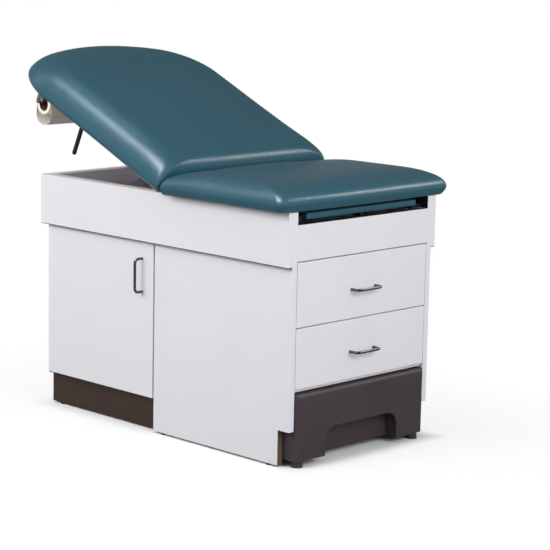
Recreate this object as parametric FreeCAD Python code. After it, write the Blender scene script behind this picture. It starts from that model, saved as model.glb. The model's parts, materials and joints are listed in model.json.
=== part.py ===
import FreeCAD, Part
import math
import os

V = FreeCAD.Vector

# Examination table: a laminate cabinet with a fixed seat pad and a hinged backrest.
# Millimetres, +Z up, +X towards the foot end, -Y towards the side with the door.

# Cabinet
TOP_HEIGHT = 700.0
BODY_LENGTH = 1016.0
BODY_WIDTH = 565.0
BOARD = 19.0
EDGE_ROUND = 0.8
RAIL_BOARD = 16.0
RAIL_HEIGHT = 148.0
GLIDE_HEIGHT = 5.0
GLIDE_RADIUS = 9.0
KICK_HEIGHT = 99.0
FOOT_PANEL_LENGTH = 541.0
NOTCH_LENGTH = 41.0
NOTCH_HEIGHT = 104.0
PARTITION_LAP = 5.0
PARTITION_DROP = 10.0
TRAY_BOARD = 13.0
GAP = 3.0

# Door
DOOR_BOARD = 16.0
DOOR_SIDE_GAP = 6.0
DOOR_PIVOT_SETBACK = 7.0
DOOR_PIN_RADIUS = 3.0
DOOR_PIN_DEPTH = 20.0
PIVOT_PLATE = 3.0
PIVOT_PLATE_LENGTH = 26.0
PIVOT_PLATE_DEPTH = 60.0
CATCH_SIZE = (14.0, 20.0, 46.0)
CATCH_DROP = 70.0
CATCH_PLATE = 1.5
RUN_CLEARANCE = 0.05
SLACK = 0.3

# Wire pulls
PULL_SPAN = 96.0
PULL_RADIUS = 4.0
PULL_REACH = 32.0
PULL_BEND = 12.0
DRAWER_PULL_DROP = 7.0
DOOR_PULL_SETBACK = 47.0
DOOR_PULL_DROP = 97.0

# Drawers, apron and the slot for the leg rest
SLOT_HEIGHT = 35.0
APRON_HEIGHT = 98.5
UPPER_FRONT_HEIGHT = 176.0
LOWER_FRONT_HEIGHT = 166.0
DRAWER_SIDE_GAP = 1.5
DRAWER_BACK_GAP = 56.0
DRAWER_WALL = 12.0
DRAWER_BOTTOM = 6.0
DRAWER_BOX_DROP = 34.0
DRAWER_BOX_RISE = 14.0
RUNNER_SPACE = 12.5
RUNNER_SHEET = 1.5
RUNNER_HEIGHT = 30.0
RUNNER_RISE = 28.0
BAY_TOP = 6.0

# Step
STEP_PROUD = 9.0
STEP_DEPTH = 340.0
STEP_SIDE_GAP = 2.5
STEP_TOP_GAP = 3.0
STEP_FLOOR_GAP = 19.0
STEP_WALL = 5.0
STEP_EDGE = 12.0
ARCH_WIDTH = 294.0
ARCH_HEIGHT = 98.0
ARCH_CORNER = 40.0
ARCH_DEPTH = 42.0
TREAD_RIBS = 9
TREAD_RIB_WIDTH = 8.0
TREAD_RIB_HEIGHT = 1.5
STEP_FOOT_RADIUS = 15.0
STEP_FOOT_FLARE = 2.0
STEP_FOOT_SETBACK = 21.0
STEP_FOOT_INSET = 24.0
STEP_BOSS_HEIGHT = 40.0
WHEEL_RADIUS = 28.0
WHEEL_WIDTH = 20.0
WHEEL_INSET = 8.0
AXLE_RADIUS = 4.0
AXLE_SETBACK = 45.0

# Leg rest
LEG_REST_SIDE_GAP = 41.5
LEG_REST_LENGTH = 440.0
LEG_REST_SETBACK = 8.0
LEG_REST_PAD = 18.0
LEG_REST_BOARD = 8.0
LEG_REST_RISE = 10.0
LEG_REST_TONGUE = 18.0
LEG_REST_LIP = 14.0
LEG_PULL_RADIUS = 5.0
LEG_PULL_LENGTH = 12.0

# Pads
PAD_OVERHANG = 60.5
PAD_TUCK = 17.0
PAD_BOARD = 12.0
PAD_WRAP = 24.0
TUCK_STEPS = 3
CROWN_STEPS = 8
CROWN_POWER = 3.6
SIDE_POWER = 1.5
SIDE_REACH = 150.0
END_POWER = 1.2
SIDE_DRAW = 2.0
SEAM_CORNER = 22.0
SEAT_OVERHANG = 20.0
SEAT_HEIGHT = 73.5
SEAT_WIDEST = 29.0
SEAT_CROWN_LENGTH = 35.0
SEAT_CORNER = 30.0
SEAT_FOOT_RADIUS = 9000.0
BACKREST_LENGTH = 782.0
BACKREST_HEIGHT = 91.5
BACKREST_WIDEST = 20.0
BACKREST_CROWN_LENGTH = 483.0
BACKREST_CORNER = 190.0
BACKREST_HEAD_RADIUS = 668.0
BACKREST_LIFT = 2.0

# Backrest hinge
HEAD_BAY_LENGTH = 546.0
REST_ANGLE = 24.0
TOP_ANGLE = 60.0
SEAM_GAP = 12.0
SEAM_SPARE = 0.5
SEAM_REACH = 44.0
LEAF = 2.0
LEAF_LENGTH = 36.0
LEAF_WIDTH = 60.0
LEAF_SPACING = 180.0
KNUCKLE_RADIUS = 4.5
HINGE_PIN_RADIUS = 2.5
KNUCKLE_GAP = 0.3

# Prop that holds the backrest up
PROP_SETBACK = 210.0
PROP_DROP = 28.0
TRACK_HEAD_GAP = 14.0
TRACK_DROP = 50.0
LEG_THICK = 4.0
LEG_HALF_WIDTH = 10.0
LEG_OFFSET = 36.0
PROP_PIN_RADIUS = 4.0
PROP_ROLLER_RADIUS = 8.0
PROP_ROLLER_WIDTH = 10.0
TRACK_CLEARANCE = 1.0
TRACK_SHEET = 2.5
TRACK_END_ROOM = 14.0
EAR_THICK = 4.0

# Release lever
LEVER_SETBACK = 452.0
LEVER_RADIUS = 6.5
LEVER_LENGTH = 118.0
LEVER_SIDE_GAP = 5.0
SHAFT_RADIUS = 5.0
SHAFT_DROP = 14.0
SHAFT_PROP_GAP = 24.5
BEARING_LENGTH = 18.0
BEARING_WALL = 4.0

# Paper roll
ROLL_SETBACK = 662.0
ROLL_DROP = 78.0
ROLL_LENGTH = 457.0
ROLL_RADIUS = 30.0
CORE_RADIUS = 20.5
CORE_WALL = 2.0
SPINDLE_RADIUS = 5.0
LOOP_RADIUS = 36.0
LOOP_SAG = 27.0
LOOP_WALL = 1.0
STRAP_WIDTH = 14.0
STRAP_THICK = 3.0
STRAP_SETBACK = 22.0
STRAP_GAP = 4.0

# Places worked out from the sizes
HINGE_SETBACK = BODY_LENGTH - HEAD_BAY_LENGTH
rest = math.radians(REST_ANGLE)
head_reach = HINGE_SETBACK + BACKREST_LENGTH * math.cos(rest)
head_reach -= (BACKREST_LIFT + BACKREST_WIDEST) * math.sin(rest)
FOOT_X = (head_reach - PULL_REACH) / 2
HEAD_X = FOOT_X - BODY_LENGTH
HINGE_X = FOOT_X - HINGE_SETBACK
SIDE_Y = BODY_WIDTH / 2
PAD_WIDTH = BODY_WIDTH + 2 * PAD_OVERHANG
INNER_Y = SIDE_Y - BOARD
RAIL_Z = TOP_HEIGHT - RAIL_HEIGHT
PANEL_END_X = FOOT_X - FOOT_PANEL_LENGTH
PARTITION_X = PANEL_END_X + PARTITION_LAP
HEAD_INNER_X = HEAD_X + BOARD
DOOR_END_X = PANEL_END_X - DOOR_SIDE_GAP
DRAWER_LENGTH = FOOT_X - BOARD - PARTITION_X - DRAWER_BACK_GAP
DOOR_TOP = RAIL_Z - GAP
SLOT_Z = TOP_HEIGHT - SLOT_HEIGHT
APRON_Z = SLOT_Z - APRON_HEIGHT
UPPER_FRONT_Z = APRON_Z - GAP - UPPER_FRONT_HEIGHT
LOWER_FRONT_Z = UPPER_FRONT_Z - GAP - LOWER_FRONT_HEIGHT
BAY_TOP_Z = LOWER_FRONT_Z - GAP - BAY_TOP
TRAY_Z = RAIL_Z + TRAY_BOARD
HINGE_AXIS = V(HINGE_X, 0, TOP_HEIGHT)
TRACK_Z = TOP_HEIGHT - TRACK_DROP
flat_room = HINGE_X - HEAD_INNER_X - TRACK_HEAD_GAP - TRACK_END_ROOM - PROP_ROLLER_RADIUS - PROP_SETBACK
PROP_LENGTH = math.hypot(flat_room, TRACK_DROP - PROP_DROP)


def box(x0, x1, y0, y1, z0, z1):
    return Part.makeBox(x1 - x0, y1 - y0, z1 - z0, V(x0, y0, z0))


def board(x0, x1, y0, y1, z0, z1):
    solid = box(x0, x1, y0, y1, z0, z1)
    return solid.makeFillet(EDGE_ROUND, solid.Edges)


def rod_y(x, z, y0, y1, radius):
    return Part.makeCylinder(radius, y1 - y0, V(x, y0, z), V(0, 1, 0))


def rod_z(x, y, z0, z1, radius):
    return Part.makeCylinder(radius, z1 - z0, V(x, y, z0))


def both_sides(solid):
    return [solid, solid.mirror(V(0, 0, 0), V(0, 1, 0))]


def raised(solid):
    turned = solid.copy()
    turned.rotate(HINGE_AXIS, V(0, 1, 0), REST_ANGLE)
    return turned


def on_backrest(setback, lift):
    # A point on the backrest at rest, from its place along and above the hinge line.
    flat = V(HINGE_X - setback, 0, TOP_HEIGHT + lift)
    return FreeCAD.Rotation(V(0, 1, 0), REST_ANGLE).multVec(flat - HINGE_AXIS) + HINGE_AXIS


def save(name, *solids):
    shape = solids[0] if len(solids) == 1 else Part.makeCompound(list(solids))
    shape.exportStep("parts/" + name + ".step")


def arc(a, b, c):
    return Part.Arc(a, b, c).toShape()


# Cabinet boards

def side_panel():
    panel = board(PANEL_END_X, FOOT_X, -SIDE_Y, -INNER_Y, GLIDE_HEIGHT, TOP_HEIGHT)
    notch = box(FOOT_X - NOTCH_LENGTH, FOOT_X + BOARD, -SIDE_Y - BOARD, -INNER_Y + BOARD, 0, NOTCH_HEIGHT)
    return panel.cut(notch)


def far_panel():
    panel = board(HEAD_X, FOOT_X, INNER_Y, SIDE_Y, GLIDE_HEIGHT, TOP_HEIGHT)
    notch = box(FOOT_X - NOTCH_LENGTH, FOOT_X + BOARD, INNER_Y - BOARD, SIDE_Y + BOARD, 0, NOTCH_HEIGHT)
    kick_space = box(HEAD_X - BOARD, PANEL_END_X, INNER_Y - BOARD, SIDE_Y + BOARD, 0, KICK_HEIGHT)
    return panel.cut(notch).cut(kick_space)


def carcass():
    partition_x0 = PARTITION_X - BOARD
    save("near_side_panel", side_panel())
    save("far_side_panel", far_panel())
    save("head_panel", board(HEAD_X, HEAD_INNER_X, -INNER_Y, INNER_Y, KICK_HEIGHT, TOP_HEIGHT))
    partition_top = TOP_HEIGHT - PARTITION_DROP
    save("partition", board(partition_x0, PARTITION_X, -INNER_Y, INNER_Y, GLIDE_HEIGHT, partition_top))
    floor_top = KICK_HEIGHT + BOARD
    save("cabinet_floor", box(HEAD_INNER_X, partition_x0, -INNER_Y, INNER_Y, KICK_HEIGHT, floor_top))
    save("tray_floor", box(HEAD_INNER_X, partition_x0, -INNER_Y, INNER_Y, RAIL_Z, TRAY_Z))
    save("near_top_board", near_top_board())
    rail_y = SIDE_Y + RAIL_BOARD
    rail_head = HEAD_X - RAIL_BOARD
    save("near_rail", board(rail_head, FOOT_X, -rail_y, -SIDE_Y, RAIL_Z, TOP_HEIGHT))
    save("far_rail", board(rail_head, FOOT_X, SIDE_Y, rail_y, RAIL_Z, TOP_HEIGHT))
    save("head_rail", board(rail_head, HEAD_X, -SIDE_Y, SIDE_Y, RAIL_Z, TOP_HEIGHT))
    save("foot_apron", board(FOOT_X - BOARD, FOOT_X, -INNER_Y, INNER_Y, APRON_Z, SLOT_Z))
    bay_front = FOOT_X - BOARD / 2
    save("step_bay_top", box(PARTITION_X, bay_front, -INNER_Y, INNER_Y, BAY_TOP_Z, BAY_TOP_Z + BAY_TOP))


def near_top_board():
    # The board over the door holds the upper pivot pin.
    solid = board(HEAD_X, PANEL_END_X, -SIDE_Y, -INNER_Y, RAIL_Z, TOP_HEIGHT)
    return solid.cut(rod_z(door_pivot_x(), door_pivot_y(), RAIL_Z - GAP, RAIL_Z + DOOR_PIN_DEPTH, DOOR_PIN_RADIUS))


def kick_boards():
    partition_x0 = PARTITION_X - BOARD
    kick_y = INNER_Y - BOARD
    near = box(HEAD_X, partition_x0, -INNER_Y, -kick_y, GLIDE_HEIGHT, KICK_HEIGHT)
    near = near.cut(pivot_plate())
    far = box(HEAD_X, partition_x0, kick_y, INNER_Y, GLIDE_HEIGHT, KICK_HEIGHT)
    head = box(HEAD_X, HEAD_INNER_X, -kick_y, kick_y, GLIDE_HEIGHT, KICK_HEIGHT)
    head = head.cut(pivot_plate())
    save("kick_boards", near, far, head)


def floor_glides():
    panel_y = (SIDE_Y + INNER_Y) / 2
    kick_y = INNER_Y - BOARD / 2
    panel_places = (PANEL_END_X + 2 * BOARD, FOOT_X - NOTCH_LENGTH - 2 * BOARD)
    solids = []
    for x in panel_places:
        solids += both_sides(rod_z(x, -panel_y, 0, GLIDE_HEIGHT, GLIDE_RADIUS))
    solids += both_sides(rod_z(HEAD_X + 2 * BOARD, -kick_y, 0, GLIDE_HEIGHT, GLIDE_RADIUS))
    save("floor_glides", *solids)


# Door on pivot pins

def door_pivot_x():
    return HEAD_X + DOOR_PIVOT_SETBACK


def door_pivot_y():
    return -SIDE_Y + DOOR_BOARD / 2


def pivot_plate():
    x0 = HEAD_X + GAP / 2
    y0 = -SIDE_Y + GAP / 2
    return box(x0, x0 + PIVOT_PLATE_LENGTH, y0, y0 + PIVOT_PLATE_DEPTH, KICK_HEIGHT - PIVOT_PLATE, KICK_HEIGHT)


def door_pin(z0, z1, radius=DOOR_PIN_RADIUS):
    return rod_z(door_pivot_x(), door_pivot_y(), z0, z1, radius)


def door():
    floor_z = KICK_HEIGHT + SLACK
    low_tip = floor_z + DOOR_PIN_DEPTH
    high_tip = DOOR_TOP - DOOR_PIN_DEPTH
    bore = DOOR_PIN_RADIUS + RUN_CLEARANCE
    panel = board(HEAD_X, DOOR_END_X, -SIDE_Y, -SIDE_Y + DOOR_BOARD, floor_z, DOOR_TOP)
    panel = panel.cut(door_pin(floor_z - GAP, low_tip + GAP, bore))
    panel = panel.cut(door_pin(high_tip - GAP, DOOR_TOP + GAP, bore))
    save("door", panel)
    plate_z = KICK_HEIGHT - PIVOT_PLATE
    save("door_pivot_plate", pivot_plate().cut(door_pin(plate_z - GAP, KICK_HEIGHT + GAP)))
    save("door_pivot_pins", door_pin(plate_z, low_tip), door_pin(high_tip, RAIL_Z + DOOR_PIN_DEPTH))


def door_catch():
    length, depth, height = CATCH_SIZE
    x1 = PARTITION_X - BOARD
    y0 = -INNER_Y
    z1 = DOOR_TOP - CATCH_DROP
    save("door_catch", box(x1 - length, x1, y0, y0 + depth, z1 - height, z1))
    door_back = -SIDE_Y + DOOR_BOARD
    plate = box(x1 - length, x1, door_back, door_back + CATCH_PLATE, z1 - height, z1)
    save("catch_plate", plate)


def wire_pull(centre, along, out):
    # Bent rod: two legs square to the face and a grip, rounded where they join.
    half = PULL_SPAN / 2
    grip = PULL_REACH - PULL_RADIUS
    bend = PULL_BEND
    cut = bend * (1 - math.sqrt(0.5))

    def at(a, b):
        return centre + along * a + out * b

    edges = [
        Part.LineSegment(at(-half, 0), at(-half, grip - bend)).toShape(),
        arc(at(-half, grip - bend), at(-half + cut, grip - cut), at(-half + bend, grip)),
        Part.LineSegment(at(-half + bend, grip), at(half - bend, grip)).toShape(),
        arc(at(half - bend, grip), at(half - cut, grip - cut), at(half, grip - bend)),
        Part.LineSegment(at(half, grip - bend), at(half, 0)).toShape(),
    ]
    profile = Part.Wire([Part.makeCircle(PULL_RADIUS, at(-half, 0), out)])
    return Part.Wire(edges).makePipeShell([profile], True, False)


def pulls():
    door_pull_z = DOOR_TOP - DOOR_PULL_DROP
    save("door_pull", wire_pull(V(DOOR_END_X - DOOR_PULL_SETBACK, -SIDE_Y, door_pull_z), V(0, 0, 1), V(0, -1, 0)))
    for name, low, height in DRAWERS:
        middle = V(FOOT_X, 0, low + height / 2 - DRAWER_PULL_DROP)
        save(name + "_drawer_pull", wire_pull(middle, V(0, 1, 0), V(1, 0, 0)))


# Drawers

DRAWERS = (
    ("upper", UPPER_FRONT_Z, UPPER_FRONT_HEIGHT),
    ("lower", LOWER_FRONT_Z, LOWER_FRONT_HEIGHT),
)


def drawer_box(low, height):
    outer_y = INNER_Y - RUNNER_SPACE
    x1 = FOOT_X - BOARD
    x0 = x1 - DRAWER_LENGTH
    z0 = low + DRAWER_BOX_RISE
    z1 = low + height - DRAWER_BOX_DROP
    outer = box(x0, x1, -outer_y, outer_y, z0, z1)
    inner_y = outer_y - DRAWER_WALL
    return outer.cut(box(x0 + DRAWER_WALL, x1 + BOARD, -inner_y, inner_y, z0 + DRAWER_BOTTOM, z1 + BOARD))


def cabinet_runner(low):
    # A folded channel on the side panel, open towards the drawer.
    z0 = low + RUNNER_RISE
    z1 = z0 + RUNNER_HEIGHT
    x1 = FOOT_X - BOARD - GAP
    x0 = x1 - DRAWER_LENGTH
    lip_y = INNER_Y - RUNNER_SPACE + GAP / 2
    outer = box(x0, x1, lip_y, INNER_Y, z0, z1)
    inside_y = INNER_Y - RUNNER_SHEET
    return outer.cut(box(x0, x1, lip_y - GAP, inside_y, z0 + RUNNER_SHEET, z1 - RUNNER_SHEET))


def drawer_runner(low):
    z0 = low + RUNNER_RISE + RUNNER_SHEET + SLACK
    z1 = low + RUNNER_RISE + RUNNER_HEIGHT - RUNNER_SHEET - SLACK
    x1 = FOOT_X - BOARD
    y1 = INNER_Y - RUNNER_SHEET - SLACK
    return box(x1 - DRAWER_LENGTH, x1, INNER_Y - RUNNER_SPACE, y1, z0, z1)


def drawers():
    front_y = INNER_Y - DRAWER_SIDE_GAP
    fixed = []
    for name, low, height in DRAWERS:
        save(name + "_drawer_front", board(FOOT_X - BOARD, FOOT_X, -front_y, front_y, low, low + height))
        save(name + "_drawer_box", drawer_box(low, height))
        save(name + "_drawer_runners", *both_sides(drawer_runner(low)))
        fixed += both_sides(cabinet_runner(low))
    save("cabinet_runners", *fixed)


# Pull-out step

def arch_block(width, height, corner, x0, x1):
    # A flat-topped arch standing on the step's lower edge.
    half = width / 2
    z0 = STEP_FLOOR_GAP
    z1 = z0 + height
    cut = corner * (1 - math.sqrt(0.5))

    def at(y, z):
        return V(x0, y, z)

    edges = [
        Part.LineSegment(at(-half, z0), at(half, z0)).toShape(),
        Part.LineSegment(at(half, z0), at(half, z1 - corner)).toShape(),
        arc(at(half, z1 - corner), at(half - cut, z1 - cut), at(half - corner, z1)),
        Part.LineSegment(at(half - corner, z1), at(corner - half, z1)).toShape(),
        arc(at(corner - half, z1), at(cut - half, z1 - cut), at(-half, z1 - corner)),
        Part.LineSegment(at(-half, z1 - corner), at(-half, z0)).toShape(),
    ]
    return Part.Face(Part.Wire(edges)).extrude(V(x1 - x0, 0, 0))


def step_body():
    half = INNER_Y - STEP_SIDE_GAP
    front = FOOT_X + STEP_PROUD
    back = front - STEP_DEPTH
    top = BAY_TOP_Z - STEP_TOP_GAP - TREAD_RIB_HEIGHT
    outer = box(back, front, -half, half, STEP_FLOOR_GAP, top)
    rounded = []
    for edge in outer.Edges:
        box_of = edge.BoundBox
        on_front = abs(box_of.XMin - front) < 1e-6
        above = box_of.ZMax > top - 1e-6
        if on_front and above:
            rounded.append(edge)
    outer = outer.makeFillet(STEP_EDGE, rounded)
    wall = STEP_WALL
    hollow = box(back - wall, front - wall, wall - half, half - wall, 0, top - wall)
    shell = outer.cut(hollow)
    height = ARCH_HEIGHT - STEP_FLOOR_GAP
    pocket = arch_block(ARCH_WIDTH, height, ARCH_CORNER, front - ARCH_DEPTH, front + wall)
    liner = arch_block(ARCH_WIDTH + 2 * wall, height + wall, ARCH_CORNER + wall, front - ARCH_DEPTH - wall, front - wall)
    shell = shell.fuse(liner)
    boss_x = front - STEP_FOOT_SETBACK
    boss_y = half - STEP_FOOT_INSET
    reach = STEP_FOOT_RADIUS + STEP_FOOT_FLARE
    boss_top = STEP_FLOOR_GAP + STEP_BOSS_HEIGHT
    boss = box(boss_x - reach, front - wall, -half + wall, -boss_y + reach, STEP_FLOOR_GAP, boss_top)
    for part in both_sides(boss):
        shell = shell.fuse(part)
    shell = shell.cut(pocket)
    pitch = (STEP_DEPTH - 2 * STEP_EDGE) / TREAD_RIBS
    for i in range(TREAD_RIBS):
        x = front - 2 * STEP_EDGE - i * pitch
        rib_y = half - 2 * STEP_EDGE
        shell = shell.fuse(box(x - TREAD_RIB_WIDTH, x, -rib_y, rib_y, top, top + TREAD_RIB_HEIGHT))
    axle_x = back + AXLE_SETBACK
    return shell.cut(rod_y(axle_x, WHEEL_RADIUS, -half - wall, half + wall, AXLE_RADIUS)).removeSplitter()


def step():
    half = INNER_Y - STEP_SIDE_GAP
    front = FOOT_X + STEP_PROUD
    axle_x = front - STEP_DEPTH + AXLE_SETBACK
    save("step_body", step_body())
    foot_y = half - STEP_FOOT_INSET
    flare = Part.makeCone(STEP_FOOT_RADIUS + STEP_FOOT_FLARE, STEP_FOOT_RADIUS, STEP_FLOOR_GAP)
    flare.translate(V(front - STEP_FOOT_SETBACK, -foot_y, 0))
    save("step_feet", *both_sides(flare))
    save("step_axle", rod_y(axle_x, WHEEL_RADIUS, -half, half, AXLE_RADIUS))
    y0 = -half + STEP_WALL + WHEEL_INSET
    wheel = rod_y(axle_x, WHEEL_RADIUS, y0, y0 + WHEEL_WIDTH, WHEEL_RADIUS)
    wheel = wheel.makeFillet(GAP, wheel.Edges[:1] + wheel.Edges[2:])
    wheel = wheel.cut(rod_y(axle_x, WHEEL_RADIUS, y0 - GAP, y0 + WHEEL_WIDTH + GAP, AXLE_RADIUS + RUN_CLEARANCE))
    save("step_wheels", *both_sides(wheel))
    top = BAY_TOP_Z - STEP_TOP_GAP - TREAD_RIB_HEIGHT
    x1 = FOOT_X - NOTCH_LENGTH - BOARD
    glide = box(x1 - STEP_DEPTH / 2, x1, -INNER_Y, -half - SLACK, top - 3 * BOARD, top - 2 * BOARD)
    save("step_glides", *both_sides(glide))


# Leg rest that slides out of the slot under the seat

def leg_rest():
    half = INNER_Y - LEG_REST_SIDE_GAP
    x1 = FOOT_X - LEG_REST_SETBACK
    x0 = x1 - LEG_REST_LENGTH
    z0 = SLOT_Z + LEG_REST_RISE
    runner = box(x0, x1 - BOARD, -INNER_Y, -half - GAP, SLOT_Z, z0 - SLACK)
    save("leg_rest_runners", *both_sides(runner))
    tongue = half + LEG_REST_TONGUE
    board_x1 = x1 - LEG_REST_LIP - GAP
    save("leg_rest_board", box(x0, board_x1, -tongue, tongue, z0, z0 + LEG_REST_BOARD))
    pad = box(x0, x1, -half, half, z0, z0 + LEG_REST_PAD)
    upper = [e for e in pad.Edges if e.BoundBox.ZMin > z0 + LEG_REST_PAD - 1e-6]
    front = [e for e in pad.Edges if e.BoundBox.XMin > x1 - 1e-6 and e.BoundBox.ZLength > 1]
    pad = pad.makeFillet(LEG_REST_PAD / 4, upper + front)
    room = box(x0 - GAP, board_x1 + SLACK, -tongue - SLACK, tongue + SLACK, z0 - GAP, z0 + LEG_REST_BOARD + SLACK)
    save("leg_rest_pad", pad.cut(room))
    stem_z = z0 - LEG_PULL_RADIUS
    pull = Part.makeCylinder(LEG_PULL_RADIUS - SLACK, LEG_PULL_LENGTH, V(board_x1, 0, stem_z), V(1, 0, 0))
    block = box(board_x1 - BOARD, board_x1, -LEG_PULL_RADIUS, LEG_PULL_RADIUS, stem_z - LEG_PULL_RADIUS + SLACK, z0)
    save("leg_rest_pull", pull.fuse(block))


# Pads: lofts through level sections, crowned on top and drawn in round the foot of the sides

def pad_levels(height, widest):
    # Height, side inset and end share of each section, from the base to the crown.
    levels = []
    for i in range(TUCK_STEPS):
        fall = 1 - i / TUCK_STEPS
        levels.append((widest * (1 - fall), PAD_TUCK * fall ** 2, 0.0))
    for i in range(CROWN_STEPS + 1):
        q = i / CROWN_STEPS
        rise = 1 - (1 - q) ** CROWN_POWER
        levels.append((widest + (height - widest) * rise, SIDE_REACH * q ** SIDE_POWER, q))
    return levels


def pad_wire(turn, inner, outer, half, radii, z):
    # Closed outline: inner and outer ends are distances from the hinge line. The outer end is one wide
    # arc that runs smoothly into the corner arcs.
    r_in, r_out, r_end = radii
    k_in = r_in * (1 - math.sqrt(0.5))
    bend = math.asin((half - r_out) / (r_end - r_out))
    centre = outer - r_end
    corner = centre + (r_end - r_out) * math.cos(bend)
    middle = (math.pi / 2 + bend) / 2
    corner_u = corner + r_out * math.cos(middle)
    corner_y = half - r_out + r_out * math.sin(middle)
    end_u = centre + r_end * math.cos(bend)
    end_y = r_end * math.sin(bend)
    side = (inner + r_in + corner) / 2
    draw = SIDE_DRAW * (corner - inner - r_in) / HINGE_SETBACK

    def at(u, y):
        return V(HINGE_X + turn * u, y, z)

    edges = [
        arc(at(inner + r_in, -half), at(side, draw - half), at(corner, -half)),
        arc(at(corner, -half), at(corner_u, -corner_y), at(end_u, -end_y)),
        arc(at(end_u, -end_y), at(outer, 0), at(end_u, end_y)),
        arc(at(end_u, end_y), at(corner_u, corner_y), at(corner, half)),
        arc(at(corner, half), at(side, half - draw), at(inner + r_in, half)),
        arc(at(inner + r_in, half), at(inner + k_in, half - k_in), at(inner, half - r_in)),
        Part.LineSegment(at(inner, half - r_in), at(inner, r_in - half)).toShape(),
        arc(at(inner, r_in - half), at(inner + k_in, k_in - half), at(inner + r_in, -half)),
    ]
    return Part.Wire(edges)


def pad_solid(shape, crown_length, height, widest, base):
    turn, length, corner, end_radius = shape
    lean = math.tan(math.radians(TOP_ANGLE / 2 + SEAM_SPARE))
    full = PAD_WIDTH / 2
    crown_seam = (base + height - TOP_HEIGHT) * lean + SEAM_REACH
    end_reach = length - crown_seam - crown_length
    wires = []
    for rise, side, share in pad_levels(height, widest):
        half = full - side
        tuck = side if share == 0 else 0
        outer = length - tuck - end_reach * share ** END_POWER
        z = base + rise
        seam = max(SEAM_GAP / 2, (z - TOP_HEIGHT) * lean) + SEAM_REACH * share ** 2
        radii = (SEAM_CORNER, corner * half / full, end_radius * half / full)
        wires.append(pad_wire(turn, seam, outer, half, radii, z))
    return Part.makeLoft(wires, True, False)


def pad_board(shape, base, spare):
    # The plywood under the pad, or with spare room the pocket that it sits in.
    turn, length, corner, end_radius = shape
    inner = SEAM_GAP / 2 + GAP - spare
    wrap = PAD_WRAP - spare
    radii = (SEAM_CORNER, max(SEAM_CORNER, corner - PAD_WRAP), end_radius - PAD_WRAP)
    wire = pad_wire(turn, inner, length - wrap, PAD_WIDTH / 2 - wrap, radii, base - spare)
    return Part.Face(wire).extrude(V(0, 0, PAD_BOARD + 2 * spare))


def seat():
    shape = (1, HINGE_SETBACK + SEAT_OVERHANG, SEAT_CORNER, SEAT_FOOT_RADIUS)
    save("seat_board", pad_board(shape, TOP_HEIGHT, 0))
    pad = pad_solid(shape, SEAT_CROWN_LENGTH, SEAT_HEIGHT, SEAT_WIDEST, TOP_HEIGHT + SLACK)
    save("seat_cushion", pad.cut(pad_board(shape, TOP_HEIGHT, SLACK)))


def backrest():
    base = TOP_HEIGHT + BACKREST_LIFT
    shape = (-1, BACKREST_LENGTH, BACKREST_CORNER, BACKREST_HEAD_RADIUS)
    save("backrest_board", raised(pad_board(shape, base, 0)))
    pad = pad_solid(shape, BACKREST_CROWN_LENGTH, BACKREST_HEIGHT, BACKREST_WIDEST, base + SLACK)
    save("backrest_cushion", raised(pad.cut(pad_board(shape, base, SLACK))))


# Hinges under the seam: two leaves on one pin at each place

def hinge_leaf(turn, y, base, knuckles):
    # Flat leaf under a board, with knuckles rolled round the pin line.
    third = LEAF_WIDTH / 3
    x0 = HINGE_X + turn * (KNUCKLE_RADIUS + KNUCKLE_GAP)
    x1 = HINGE_X + turn * (KNUCKLE_RADIUS + LEAF_LENGTH)
    leaf = box(min(x0, x1), max(x0, x1), y - LEAF_WIDTH / 2, y + LEAF_WIDTH / 2, base - LEAF, base)
    for place in knuckles:
        y0 = y - LEAF_WIDTH / 2 + place * third + KNUCKLE_GAP / 2
        y1 = y0 + third - KNUCKLE_GAP
        barrel = rod_y(HINGE_X, TOP_HEIGHT, y0, y1, KNUCKLE_RADIUS)
        bridge = box(min(HINGE_X, x0), max(HINGE_X, x0), y0, y1, base - LEAF, base)
        leaf = leaf.fuse(barrel.fuse(bridge))
    bore = rod_y(HINGE_X, TOP_HEIGHT, y - LEAF_WIDTH, y + LEAF_WIDTH, HINGE_PIN_RADIUS + RUN_CLEARANCE)
    return leaf.cut(bore)


def hinges():
    places = (-LEAF_SPACING, 0.0, LEAF_SPACING)
    base = TOP_HEIGHT + BACKREST_LIFT
    save("seat_hinge_leaves", *[hinge_leaf(1, y, TOP_HEIGHT, (0, 2)) for y in places])
    save("backrest_hinge_leaves", *[raised(hinge_leaf(-1, y, base, (1,))) for y in places])
    half = LEAF_WIDTH / 2
    save("hinge_pins", *[rod_y(HINGE_X, TOP_HEIGHT, y - half, y + half, HINGE_PIN_RADIUS) for y in places])


# Prop: two legs from a bracket under the backrest to rollers in a level track

def flat_link(a, b, half_width, y0, y1):
    # A bar with round ends between two points, standing across Y.
    run = V(b.x - a.x, 0, b.z - a.z)
    side = V(-run.z, 0, run.x) * (half_width / run.Length)
    tip = run * (half_width / run.Length)
    a = V(a.x, y0, a.z)
    b = V(b.x, y0, b.z)
    edges = [
        Part.LineSegment(a + side, b + side).toShape(),
        arc(b + side, b + tip, b - side),
        Part.LineSegment(b - side, a - side).toShape(),
        arc(a - side, a - tip, a + side),
    ]
    return Part.Face(Part.Wire(edges)).extrude(V(0, y1 - y0, 0))


def prop_points():
    top = on_backrest(PROP_SETBACK, -PROP_DROP)
    run = math.sqrt(PROP_LENGTH ** 2 - (top.z - TRACK_Z) ** 2)
    return top, V(top.x - run, 0, TRACK_Z)


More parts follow.
